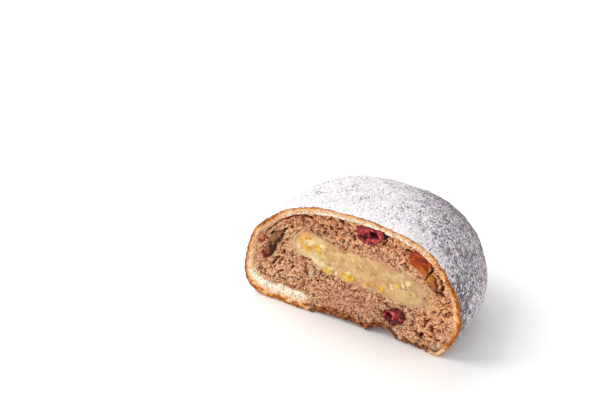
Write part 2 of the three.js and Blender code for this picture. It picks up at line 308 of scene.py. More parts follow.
def mottle_group():
    """Baked crumb in two tones: coarse and fine noise choose between them; gaps between its smallest
    crumbs, the borders of cells bent by noise, are redder and, as painted shade, darker. Noise less the
    gaps is its height."""
    group = bpy.data.node_groups.new("baked_mottle", "ShaderNodeTree")
    sockets = [("Dark tone", "INPUT", "Color"), ("Light tone", "INPUT", "Color"),
               ("Light share", "INPUT", "Float"), ("Gap share", "INPUT", "Float"),
               ("Tone", "OUTPUT", "Color"), ("Height", "OUTPUT", "Float")]
    for title, way, kind in sockets:
        group.interface.new_socket(title, in_out=way, socket_type="NodeSocket" + kind)
    given = group.nodes.new("NodeGroupInput").outputs
    result = group.nodes.new("NodeGroupOutput").inputs
    both = plus(group, times(group, grain(group, 1.6), 0.3), times(group, grain(group, 0.56, 1.0, 0.6), 0.7))
    share = ramp(group, plus(group, both, given["Light share"]), 0.4, 0.56)
    tone = blend(group, share, given["Dark tone"], given["Light tone"])
    place = place_on(group)
    swirl = add(group, "ShaderNodeTexNoise", place, 1000.0).outputs["Color"]
    swirl = add(group, "ShaderNodeVectorMath", swirl, 0.0016, operation="SCALE").outputs["Vector"]
    bent = add(group, "ShaderNodeVectorMath", place, swirl, operation="ADD").outputs["Vector"]
    cell = add(group, "ShaderNodeTexVoronoi", bent, 800.0, feature="DISTANCE_TO_EDGE").outputs["Distance"]
    gap = times(group, ramp(group, cell, 0.02, 0.13, 1.0, 0.0), ramp(group, grain(group, 1.2), 0.4, 0.6))
    gap = times(group, gap, given["Gap share"])
    # Painted shade: the gaps are multiplied to a darker red brown.
    group.links.new(blend(group, gap, tone, paint(172, 88, 42), "MULTIPLY"), result["Tone"])
    group.links.new(maths(group, "SUBTRACT", both, times(group, gap, 0.3)), result["Height"])
    return group


MOTTLE = mottle_group()


def mottle(tree, dark, light, share=0.0, gaps=0.0):
    """Places the baked mottle with its own two tones: share above 0 gives more of the light one, and gaps
    is the strength of the painted shade in the gaps. The result is its tone and its height."""
    node = add(tree, "ShaderNodeGroup", dark, light, share, gaps, node_tree=MOTTLE)
    return node.outputs["Tone"], node.outputs["Height"]


def rim_relief(x, z):
    """How far the wrapper's cut edge lies behind the cut plane: the knife's wave and two finer layers."""
    return layered([KNIFE_WAVE, (0.15, 3.0, 5), (0.16, 1.2, 6)], x, 0.0, z)


def rim_dip(x, z, deep, thick):
    """How far the cut edge falls back where it is this deep below the skin: over its last 2 mm before
    the crumb, and more and sooner at the lower right."""
    corner = rise(x, 22.0, 8.0) * fall(z, 9.0, 9.0)
    corner = 2.4 * corner * rise(deep, 0.6, 1.4)
    dip = RIM_DIP * mix(1.0, 0.3, rise(z, 34.0, 6.0))
    return np.maximum(dip * fall(thick - deep, 0.0, 2.0), corner)


def opening_dip(x, z, top):
    """How far the cut edge falls back beside the opening's two walls, in the part of it below top."""
    beside = np.maximum(OPENING["x"] - OPENING["half_width"] - x, x - OPENING["x"] - OPENING["half_width"])
    deep = np.where(x < 0.0, 2.0 * RIM_DIP, RIM_DIP)
    return deep * fall(beside, 0.0, 2.4) * fall(z - top, -1.0, 1.0)


def behind_cut(p, relief, reach):
    """Carries the relief of the cut edge into the points behind it, fading out over this reach."""
    fade = fall(p[1], 0.0, reach)
    return np.stack([p[0], p[1] + fade * relief(p[0], p[2]), p[2]])


def from_line(line, x, z):
    """Distance to the nearest point of a line of straight lengths."""
    nearest = np.full(np.shape(x), 1e3)
    for (x0, z0), (x1, z1) in zip(line[:-1], line[1:]):
        length = (x1 - x0) ** 2 + (z1 - z0) ** 2
        share = np.clip(((x - x0) * (x1 - x0) + (z - z0) * (z1 - z0)) / length, 0.0, 1.0)
        nearest = np.minimum(nearest, np.hypot(x - mix(x0, x1, share), z - mix(z0, z1, share)))
    return nearest


def sugar_and_shade_cover(outer, outwards):
    """How thick the sugar lies: -1 on bare crust, 0 where it is thin, 1 and more where it is full.

    It is full where the skin faces up and left, towards the key lamp, and thin at the right and the
    back right: thinner sugar there, and also painted shade on the sides turned from the lamp. It is a
    little thicker again low down, a painted light of the bounce from the table. Beside the cut it is
    thicker above and thinner below. It fades out at the foot, and in a ragged line at the cut.
    """
    # Painted light and shade: the facing term follows the key lamp, so the sides turned from it get thinner,
    # greyer sugar as painted shade, also at the back right, and the 0.25 more low down is painted bounce
    # light.
    facing_key_lamp = 0.95 * outwards[2] - 0.1 * outwards[1] - 0.42 * outwards[0]
    sugar_and_shade = 1.0 - 0.82 * smooth((0.8 - facing_key_lamp) / 0.65) + 0.25 * smooth((0.3 - outwards[2]) / 0.4)
    sugar_and_shade = sugar_and_shade + mix(-0.55, 1.0, rise(outwards[2], 0.25, 0.4)) * fall(outer[1], 0.0, 9.0)
    back_right = rise(outwards[1], 0.42, 0.3) * rise(outwards[0], 0.1, 0.3)
    sugar_and_shade = sugar_and_shade - 0.45 * back_right * rise(outwards[2], -0.1, 0.3)
    sugar_and_shade = (1.0 + sugar_and_shade) * smooth((outer[2] - 0.6 - np.abs(noise(*outer, 2.0, 16))) / 1.6)
    return sugar_and_shade * smooth((outer[1] + 0.35 + 0.7 * noise(*outer, 0.9, 17)) / 0.4) - 1.0


def rim_depth(x, z, deep):
    """How deep below the skin the cut edge looks: dark gold near 0, cream from 2 and white from 4 mm.

    It is the true depth with noise, which grows faster at the top and slower at the lower right, and
    stays below 2.8 where the real edge has no white. It falls back to crust along SEAM and SPLIT and in
    a ragged line at the base, and the lower right tip is pale.
    """
    white = np.maximum(smooth((11.5 - z) / 4.0), rise(z, 36.0, 4.0))
    looks = np.minimum(deep * mix(0.85, 1.75, rise(z, 36.0, 8.0)), 2.8 + 4.0 * white)
    low_right = rise(x, 20.0, 8.0) * fall(z, 34.0, 8.0)
    looks = mix(looks, 1.1 * deep - 0.5, low_right)
    looks = looks - mix(0.6, 0.9, low_right) * noise(x, 0.0, z, 1.3, 19)
    looks = np.where(deep < 0.3, deep, np.maximum(looks, 0.3))
    looks = np.maximum(looks, 0.45 * low_right)
    split = fall(np.minimum(from_line(SEAM, x, z), from_line(SPLIT, x, z)), 0.0, 0.45)
    looks = looks - 4.0 * split * smooth(noise(x, 0.0, z, 1.6, 22) + 0.8)
    crust = (0.3 + 2.8 * noise(x, 0.0, z, 1.6, 18)) * fall(z, 1.5, 3.5) * fall(x, 20.0, 4.0)
    looks = np.maximum(looks - crust, np.minimum(deep, 0.4))
    tip = 2.6 * rise(x, 26.0, 5.0) * fall(z, 3.0, 4.0)
    return np.maximum(looks, tip) + 0.5 * rise(z, 36.0, 6.0)


def rim_crumbs(x, z, deep):
    """How much spiced crumb sticks to the cut edge: some on its inner part, but none on the flap and at
    the middle of the top, and more on the flap's right end."""
    high = rise(z, 34.0, 4.0)
    top_middle = high * rise(x, -12.0, 6.0) * fall(x, 16.0, 5.0)
    off_flap = np.maximum(rise(z, 7.0, 3.0), rise(x, -12.0, 3.0))
    inner = smooth((deep - mix(1.5, 0.9, high)) / mix(1.6, 1.0, high))
    inner = inner * off_flap * (1.0 - top_middle) * mix(0.55, 0.8, high)
    flap_end = smooth((x + 16.7 + 0.4 * z + 1.2 * noise(x, 0.0, z, 1.4, 20)) / 1.2) * fall(x, -15.9, 0.1)
    return np.maximum(inner, 1.2 * flap_end * fall(z, 7.0, 1.0))


def wrapper_mesh():
    """The wrapper's outer side, its cut edge, the wall of the opening below and its inner side.

    The outer side is the bun with sugar on it: three layers of noise that fade out at the base. The
    cut edge and the wall are straight between the two sides, and the inner side has fewer columns. The
    depth, the sugar with the painted shade in it, and the crumbs of each point choose its colour.
    """
    rows, outer_columns, inner_columns, steps = (165, 34, 40), 330, 25, 14
    wide = OPENING | {"half_width": 23.15, "half_depth": 34.15}
    outer = bun_layer(CRUST, np.linspace(0.0, np.pi, outer_columns), *rows, wide)
    inner = bun_layer(INSIDE, np.linspace(0.0, np.pi, inner_columns), *rows, wide)
    outwards = outer - np.array([0.0, 0.0, 14.0])[:, None, None]
    outwards = outwards / np.linalg.norm(outwards, axis=0)
    powder = layered([(0.12, 2.1, 11), (0.14, 1.15, 12), (0.11, 0.8, 13)], *outer)
    crease = from_line(CREASE, outer[0], outer[1]) + 30.0 * (outer[2] < 30.0)
    powder = powder - 0.3 * np.exp(-((crease / 0.8) ** 2))
    outer = outer + outwards * powder * smooth(outer[2] / 5.0)
    torn = np.abs(layered([(0.9, 3.2, 14), (0.7, 1.4, 15)], *outer)) * fall(outer[1], 0.0, 9.0)
    outer[2] = np.where(outer[2] < 0.05, torn, outer[2])
    outer[1] = np.maximum(outer[1], 0.0)
    sugar_and_shade = sugar_and_shade_cover(outer, outwards)
    outer = behind_cut(outer, rim_relief, 5.0)
    inner = behind_cut(inner, rim_relief, 8.0)
    outer[1][:, [0, -1]] += opening_dip(outer[0], outer[2], 2.0)[:, [0, -1]]
    cut = inner[:, :, [0, -1]]
    thick = np.linalg.norm(outer[::2, :, [0, -1]] - cut[::2], axis=0)
    inner[1][:, [0, -1]] += rim_dip(cut[0], cut[2], thick, thick)
    share = np.linspace(0.0, 1.0, steps + 1)[1:-1, None]
    first = np.concatenate([outer[:, ::-1, 0], outer[:, 1:, -1]], axis=1)
    last = np.concatenate([inner[:, ::-1, 0], inner[:, 1:, -1]], axis=1)
    rim = mix(first[:, None], last[:, None], share)
    x, z = rim[[0, 2]]
    thick = np.linalg.norm(first[::2] - last[::2], axis=0)
    dip = np.maximum(rim_dip(x, z, share * thick, thick), opening_dip(x, z, 9.0))
    rim[1] = rim_relief(x, z) + dip
    lip = outer[:, -1, 1:-1]
    wall = np.repeat(lip[:, None], steps - 1, axis=1)
    wall[2] = mix(lip[2], flap_height(lip[0], INSIDE), share)
    points, start, (outside, inside, between, down) = number_blocks([outer, inner, rim, wall])
    outside[0, :] = outside[0, 0]
    inside[0, :] = inside[0, 0]
    first = np.concatenate([outside[::-1, 0], outside[1:, -1]])
    last = np.concatenate([inside[::-1, 0], inside[1:, -1]])
    edge = np.concatenate([first[None], between, last[None]])
    lips = np.concatenate([outside[-1:, 1:-1], down])
    lips = np.concatenate([edge[:steps, [0]], lips, edge[:steps, [-1]]], axis=1)
    grids = [grid_triangles(grid) for grid in (outside, inside, edge, lips)]
    triangles = np.concatenate(grids + [zip_triangles(lips[-1], inside[-1])])
    depth, coat, crumbs = np.zeros((3, points.shape[1]))
    depth[start[1]:start[2]] = 4.0
    depth[start[2]:start[3]] = rim_depth(x, z, share * thick).ravel()
    depth[start[3]:] = (share * flap_height(lip[0], INSIDE)).ravel()
    coat[:start[1]] = sugar_and_shade.ravel()
    coat[start[1]:] = -1.0
    crumbs[start[1]:start[2]] = 1.8
    crumbs[start[2]:start[3]] = rim_crumbs(x, z, share * thick).ravel()
    crumbs[start[3]:] = 1.2
    return points, triangles, {"depth": depth, "sugar_and_shade": coat, "crumbs": crumbs}


def wrapper_finish():
    """Powdered sugar over baked crust outside, and at the cut a golden line above a cream band.

    At the cut the dough goes from dark gold to gold, cream and white with its depth, and spiced crumbs
    stick to it. The sugar goes from grey to white with the sum of drawn-out noise, broad noise and its
    thickness, which carries painted shade on the sides turned from the key lamp. It has thin grey
    curls in places, painted shade in fine creases, and leaves the bare crust open.
    """
    material, tree = finish(
        "sugared_dough", Roughness=0.9, Subsurface_Weight=0.2, Subsurface_Radius=(1.0, 0.7, 0.5),
        Subsurface_Scale=0.0008, Specular_IOR_Level=0.2)
    level = ragged(tree, "depth", 1.8, 1.3)
    cream, height = mottle(tree, paint(206, 144, 94), paint(246, 206, 158), 0.03)
    white, _ = mottle(tree, paint(208, 174, 128), paint(255, 248, 230), 0.03)
    olive = ramp(tree, grain(tree, 2.0), 0.5, 0.66, 0.0, 0.55)
    white = blend(tree, olive, white, paint(216, 202, 158))
    bright, _ = mottle(tree, paint(186, 96, 36), paint(240, 164, 84), 0.0, 0.5)
    gold, _ = mottle(tree, paint(126, 52, 14), paint(208, 116, 48), 0.0, 0.7)
    spice, _ = mottle(tree, paint(210, 138, 96), paint(255, 214, 172), 0.0, 0.9)
    dough = blend(tree, ramp(tree, level, 1.2, 1.8), gold, bright)
    dough = blend(tree, ramp(tree, level, 2.0, 2.9), dough, cream)
    dough = blend(tree, ramp(tree, level, 3.4, 5.0), dough, white)
    stuck = ramp(tree, ragged(tree, "crumbs", 1.1, 2.0, 3.0), 1.5, 1.9, 0.0, 0.85)
    dough = blend(tree, stuck, dough, spice)
    # The mask read here carries painted shade: where it is low the powder turns to the grey violet of thin
    # sugar, which also stands for the shade on the sides turned from the key lamp.
    sugar_and_shade = mask(tree, "sugar_and_shade")
    speck = strokes(tree, 0.62, 2.0, 0.6)
    strength = ramp(tree, grain(tree, 6.0, 1.0), 0.36, 0.64, 3.4, 8.0)
    thick = times(tree, maths(tree, "SUBTRACT", speck, 0.5), strength)
    thick = plus(tree, thick, plus(tree, sugar_and_shade, 0.2))
    thick = plus(tree, thick, times(tree, grain(tree, 2.6), 2.6))
    clumps = ramp(tree, grain(tree, 4.0), 0.5, 0.7)
    thin = blend(tree, clumps, paint(112, 101, 108), paint(121, 104, 106))
    powder = blend(tree, ramp(tree, thick, 1.0, 1.9), thin, paint(205, 194, 202))
    powder = blend(tree, ramp(tree, thick, 1.75, 2.4), powder, paint(255, 250, 254))
    # The grey curls are painted shade along fine creases in the powder, which the bump below also sinks.
    shaded_curl = maths(tree, "ABSOLUTE", maths(tree, "SUBTRACT", strokes(tree, 1.8, 1.0, 0.5), 0.5))
    shaded_curl = times(tree, ramp(tree, shaded_curl, 0.0, 0.03, 1.0, 0.0), ramp(tree, grain(tree, 2.6), 0.48, 0.6))
    powder = blend(tree, times(tree, shaded_curl, 0.5), powder, paint(140, 134, 146))
    powder = blend(tree, ramp(tree, sugar_and_shade, -0.9, -0.5), bright, powder)
    outside = ramp(tree, ragged(tree, "depth", 0.7, 1.0), 0.8, 1.1, 1.0, 0.0)
    wool = times(tree, strokes(tree, 2.4, 1.0, 0.5), 0.6)
    woolly = plus(tree, maths(tree, "SUBTRACT", speck, times(tree, shaded_curl, 0.25)), wool)
    height = plus(tree, times(tree, woolly, outside), times(tree, height, 0.4))
    surface(tree, blend(tree, outside, dough, powder), height, 1.4)
    return material


points, triangles, masks = wrapper_mesh()
make_piece("wrapper_sugared", points, triangles, wrapper_finish(), "sugared_dough", "sugared_wrapper",
           **masks)

# The spiced crumb: a moist brown bun dough with cinnamon, torn into crumbs where the knife dragged, with
# gaps under the wrapper and at the fruit. It comes through the wrapper's opening to form the base.
FILLING = np.array([
    [-22.2, 27.4], [-19.2, 33], [-14.4, 35.1], [-8, 33.9], [-1, 31.8], [6, 32.3], [13, 33],
    [19, 30.7], [26, 30], [30.8, 26], [31, 19.8], [26, 17.9], [15.5, 17.9], [6.5, 19],
    [-3, 19.5], [-10.5, 20.6], [-15.6, 23.6], [-19.8, 23.8],
])
CRANBERRY_UPPER = np.array([
    [5.1, 41.4], [6, 43.9], [9.5, 44.8], [14, 44.9], [17.6, 44.8], [18, 42.6], [15.4, 41],
    [12, 38], [8, 37.4], [5.6, 39.2],
])
CRANBERRY_LOWER = np.array([
    [13.4, 9.6], [14.8, 12.1], [18.4, 13.9], [21.6, 14.1], [22.7, 11.8], [21.4, 8.6], [18.2, 6.6],
    [15, 7.2],
])
ORANGE_PEEL = np.array([
    [25.2, 38], [26.6, 40.2], [29, 41.3], [31.6, 41], [33.8, 39.3], [35.2, 37.5], [33.4, 35.6],
    [33, 32.8], [30.9, 31.7], [29.6, 33.4], [26.8, 34.8],
])
SULTANA = np.array([
    [32.2, 31], [33.6, 33.6], [35.2, 33.4], [36.2, 31], [36.5, 28.6], [34.4, 26.6], [32.4, 28.4],
])
RAISIN = np.array([
    [-34.1, 22.6], [-32, 27], [-29, 30.6], [-25.4, 32.1], [-25.9, 29.6], [-28.2, 26.2],
    [-30.6, 21.8], [-33.6, 17.5], [-35.8, 17.3],
])
CRANBERRY_SCRAP = np.array([
    [-37.4, 24.2], [-36.6, 26.4], [-34.6, 28.2], [-34.2, 26.4], [-35.8, 23.6],
])
FRUITS = [CRANBERRY_UPPER, CRANBERRY_LOWER, ORANGE_PEEL, SULTANA, RAISIN, CRANBERRY_SCRAP]

# Cracks as points in the cut face, half width and depth, pits as x, z, radius and depth, and stains as x,
# z, radius and strength, red brown above 0 and floury below it.
CRACKS = [
    ([[-33, 30], [-30, 32.6], [-25.8, 36.3], [-21, 39.1], [-18.5, 40.5], [-15.6, 41.6]], 0.3, 0.9),
    ([[-24, 33.2], [-25.8, 31.8], [-27.4, 30.7], [-29.8, 30.1], [-31.2, 28.8]], 0.4, 1.6),
    ([[-29.5, 19.1], [-32.4, 15.4]], 0.4, 1.5),
    ([[-24.8, 19.2], [-23, 17.6], [-24, 16.3]], 0.4, 1.7),
    ([[-37.8, 12.4], [-35.1, 11.1]], 0.35, 1.2),
    ([[-30.2, 13.1], [-27.8, 14.1]], 0.35, 1.3),
    ([[-30.1, 11.2], [-28.7, 10.6], [-26.6, 10.8]], 0.4, 1.5),
    ([[-17.8, 20.3], [-18, 18.3], [-17.5, 16.5]], 0.4, 1.1),
    ([[-13.5, 41.7], [-11.4, 40.8]], 0.45, 1.8),
    ([[-10.3, 39.9], [-8.9, 39.3], [-7.1, 38.6]], 0.5, 2.0),
    ([[-5.1, 43], [-3.8, 43.4], [-2.5, 42.7]], 0.35, 1.4),
    ([[-3, 39.9], [-0.9, 40]], 0.4, 1.4),
    ([[-8.6, 36], [-7, 37.4]], 0.35, 1.1),
    ([[-20.6, 28.8], [-20.9, 30.8], [-18.9, 33.4]], 0.35, 1.6),
    ([[34.6, 36.2], [33.4, 33.4], [31.9, 30.4]], 0.5, 2.6),
    ([[36.3, 33.2], [37.8, 32.3], [37.9, 29.6], [37.5, 27.2]], 0.45, 2.0),
    ([[18.7, 44.6], [17.9, 43.4]], 0.5, 2.2),
    ([[35, 26.3], [38, 26.3]], 0.6, 1.9),
    ([[35.8, 23], [37.8, 22.4]], 0.4, 1.5),
    ([[32.4, 14.6], [31.2, 12.8], [29.5, 10.5]], 0.35, 1.5),
    ([[27.3, 14], [28.9, 14.1]], 0.3, 1.2),
    ([[28.9, 6.6], [28, 5.3]], 0.7, 1.8),
]
PITS = [
    [-35.5, 21.3, 0.6, 1.8], [-36.3, 19.3, 0.6, 1.6], [-29, 16.7, 0.6, 1.7], [-33, 13.8, 0.6, 1.5],
    [-26.5, 25.1, 0.6, 1.4], [-26.8, 22.4, 0.7, 1.6], [-14.9, 42, 0.9, 2.2], [-4.7, 39.6, 0.7, 1.8],
    [-0.4, 43.5, 0.9, 2], [2.1, 42.9, 0.8, 1.9], [2.5, 41.2, 0.6, 1.6], [-3.2, 38.4, 0.6, 1.5],
    [-19.4, 11.1, 0.6, 1.4], [-15, 12, 0.5, 1.3], [-13.4, 14.7, 0.6, 1.5], [-15.2, 7.7, 0.7, 1.6],
    [38.3, 17.7, 0.8, 2], [32.8, 10.3, 1.1, 2], [32.2, 6.9, 0.7, 1.7], [35, 6.4, 0.5, 1.3],
    [33.6, 17.7, 0.8, 1.7], [36.6, 14.6, 0.6, 1.6], [36, 10.8, 0.6, 1.5], [25.6, 13.7, 0.6, 1.4],
    [24.7, 15.1, 0.6, 1.4], [25.8, 40.2, 1.2, 2.6], [4.2, 38.4, 0.9, 2], [-22.6, 36.2, 0.5, 1.3],
    [15.9, 39.6, 0.8, 2.0], [17.2, 41.4, 0.6, 1.6], [23.3, 37.3, 0.7, 1.7], [24.4, 36.1, 0.5, 1.5],
]
STAINS = [
    [-18.2, 22.6, 1.6, 1], [-17.2, 17.4, 1, 1], [-0.2, 32.9, 1.4, 1], [-0.5, 41.9, 1.3, 0.7],
    [-15.6, 16.4, 1.4, -1], [-31.6, 10.4, 1.6, -0.7], [-12.4, 20, 1, -0.8], [-6, 37.9, 1.2, -0.6],
    [1.6, 38.8, 2, -0.5], [-24.2, 30, 1.4, -0.6], [-35.4, 26.6, 1.6, 0.6],
    [33.6, 3.8, 2.8, -0.5], [36.6, 9.0, 1.7, -0.4],
]
HOLLOWS = [(-3.0, 13.5, 1.2), (12.2, 6.2, 3.3)]
TEAR_TURN = np.radians(40.0)
FLARE = {"left": 3.0, "right": 1.3, "back": 3.9, "top": 2.7, "flap": (6.4, 0.9)}
EDGE_DIP = 0.7


def outline_curve(outline, count):
    """A closed centripetal Catmull-Rom curve through the outline's points, at even shares of its points.

    Between two points the curve is the cubic with the tangents that the spacing of four points gives.
    """
    share = np.arange(count) / count * len(outline)
    step = np.floor(share).astype(int)
    t = (share - step)[:, None]
    p = [outline[(step + n) % len(outline)] for n in (-1, 0, 1, 2)]
    gap = [np.sqrt(np.linalg.norm(p[n + 1] - p[n], axis=1))[:, None] for n in range(3)]
    start = (p[1] - p[0]) / gap[0] - (p[2] - p[0]) / (gap[0] + gap[1]) + (p[2] - p[1]) / gap[1]
    end = (p[2] - p[1]) / gap[1] - (p[3] - p[1]) / (gap[1] + gap[2]) + (p[3] - p[2]) / gap[2]
    start, end = start * gap[1], end * gap[1]
    square = 3.0 * (p[2] - p[1]) - 2.0 * start - end
    cube = 2.0 * (p[1] - p[2]) + start + end
    return p[1] + start * t + square * t**2 + cube * t**3


def radius_at(outline, angle):
    """How far the outline lies from the mean of its points, in these directions."""
    spoke = outline_curve(outline, 720) - outline.mean(axis=0)
    direction = np.arctan2(spoke[:, 1], spoke[:, 0])
    order = np.argsort(direction)
    return np.interp(angle, direction[order], np.linalg.norm(spoke, axis=1)[order], period=2.0 * np.pi)


def inside_share(outline, x, z):
    """0 at the middle of an outline, 1 on it and more outside, along straight lines from the middle."""
    dx, dz = x - outline[:, 0].mean(), z - outline[:, 1].mean()
    return np.hypot(dx, dz) / radius_at(outline, np.arctan2(dz, dx))


def cells(x, z, pitch, seed):
    """One point is scattered in each square of this pitch: the distance to the nearest of them, how much
    farther the next one is, both in pitches, and the nearest one's own random value from -1 to 1."""
    column, row = np.floor(x / pitch), np.floor(z / pitch)
    near = np.full(np.shape(x), 9.0)
    next_near = near.copy()
    own = np.zeros(np.shape(x))
    for right, up in np.ndindex(3, 3):
        i, j = column + right - 1, row + up - 1
        dx = x / pitch - i - 0.5 - 0.42 * lattice_value(i, j, 0 * i, seed)
        dz = z / pitch - j - 0.5 - 0.42 * lattice_value(i, j, 0 * i + 1, seed)
        distance = np.hypot(dx, dz)
        closer = distance < near
        next_near = np.where(closer, near, np.minimum(next_near, distance))
        own = np.where(closer, lattice_value(i, j, 0 * i + 2, seed), own)
        near = np.minimum(near, distance)
    return near, next_near - near, own


def crumb_relief(x, z):
    """How far the crumb's cut face lies behind the cut plane, and how deep in a gap each point is, 0 to 1.

    The knife's wave and two layers of noise, then rounded crumbs, which are raised by the difference of
    the two cell distances, short tears along TEAR_TURN, round pores in some of the cells, cracks, pits,
    and a seat for each fruit. It is calmer in two places and beside the paste.
    """
    bent_x = x + 0.45 * noise(x, 0.0, z, 1.5, 71)
    bent_z = z + 0.45 * noise(x, 9.0, z, 1.5, 72)
    calm = np.exp(-(((x - 1.0) / 17.0) ** 2) - ((z - 10.0) / 8.0) ** 2)
    calm = np.maximum(calm, np.exp(-(((x - 14.0) / 9.0) ** 2) - ((z - 34.0) / 3.5) ** 2))
    _, border, own = cells(bent_x, bent_z, 1.05, 61)
    crumbs = fall(border, 0.0, 0.45)
    specks = fall(cells(bent_x, bent_z, 0.65, 62)[1], 0.0, 0.5)
    along = bent_x * np.cos(TEAR_TURN) + bent_z * np.sin(TEAR_TURN)
    across = bent_z * np.cos(TEAR_TURN) - bent_x * np.sin(TEAR_TURN)
    tears = 0.0
    for pitch, seed in ((0.9, 63), (1.3, 64), (1.9, 65)):
        line = fall(np.abs(noise(along / 1.6, 0.0, across, pitch, seed)) * pitch, 0.0, 0.3)
        tears = np.maximum(tears, line * rise(noise(x, 0.0, z, 1.7 * pitch, seed + 9), 0.22, 0.2))
    hole, _, chance = cells(bent_x, bent_z, 2.0, 66)
    pores = fall(hole, 0.06, 0.2) * rise(chance, 0.3, 0.3)
    calmer = mix(1.0, 0.4, calm)
    gaps = [crumbs * 0.24 * calmer, specks * 0.16, tears * 0.9 * calmer, pores * 0.9 * calmer]
    upper = rise(z, 33.0, 4.0) * fall(x, 20.0, 8.0)
    gaps.append(0.3 * upper * fall(cells(bent_x, bent_z, 1.9, 68)[1], 0.0, 0.16))
    for line, half_width, depth in CRACKS:
        gaps.append(depth * fall(from_line(line, bent_x, bent_z) / half_width, 0.55, 0.8))
    for pit_x, pit_z, radius, depth in PITS:
        reach = np.hypot(bent_x - pit_x, bent_z - pit_z) / radius + 0.35 * noise(x, 0.0, z, 0.9, 67)
        gaps.append(depth * fall(reach, 0.3, 1.0))
    gap = sum(gaps)
    seats = [2.4 * fall(inside_share(fruit, x, z), 0.76, 0.2) for fruit in FRUITS]
    waves = layered([(0.4, 4.2, 31), (0.28, 2.0, 32)], x, 0.0, z)
    beyond = (inside_share(FILLING, x, z) - 1.0) * 12.0
    width = 1.5 + 1.3 * noise(x, 0.0, z, 3.0, 73) + 1.3 * rise(x, 22.0, 8.0)
    smear = fall(beyond, 0.0, np.maximum(width, 0.4))
    gap = gap * (1.0 - 0.5 * smear)
    relief = 0.5 + layered([KNIFE_WAVE], x, 0.0, z) + waves * (1.0 - 0.6 * smear)
    relief = relief + np.clip(gap, 0.0, 4.5) + np.max(seats, axis=0)
    return relief, np.clip(gap / 1.15, 0.0, 1.0), own, smear


def crumb_depth(x, z):
    """The relief alone."""
    return crumb_relief(x, z)[0]


def stain_mask(x, z):
    """The sum of the stains: each is its strength inside its radius, with a rough edge, and 0 outside."""
    stain = np.zeros(x.shape)
    for stain_x, stain_z, radius, strength in STAINS:
        reach = np.hypot(x - stain_x, z - stain_z) / radius + 0.5 * noise(x, 0.0, z, 0.8, 74)
        stain = stain + strength * fall(reach, 0.5, 0.6)
    return stain


def warmth(x, z):
    """1 at the top and at the right, where the crumb is more orange, and -1 below the paste and in a band
    just above it, where it is dull."""
    warm = np.maximum(rise(z, 32.0, 5.0), 0.8 * rise(x, 25.0, 5.0))
    warm = warm - 1.5 * np.exp(-(((x - 13.0) / 9.0) ** 2) - ((z - 35.0) / 2.8) ** 2)
    return warm - np.exp(-(((x - 4.0) / 17.0) ** 4) - ((z - 6.0) / 11.0) ** 4)


def crumbled(x, y):
    """Height of the hollows where the base has crumbled away under the cut edge: half ellipsoids."""
    height = np.zeros(np.broadcast(x, y).shape)
    for middle, half_width, high in HOLLOWS:
        left = 1.0 - ((x - middle) / half_width) ** 2 - (y / 8.0) ** 2
        height = np.maximum(height, (high + 1.0) * np.sqrt(np.clip(left, 0.0, 1.0)) - 1.0)
    return height


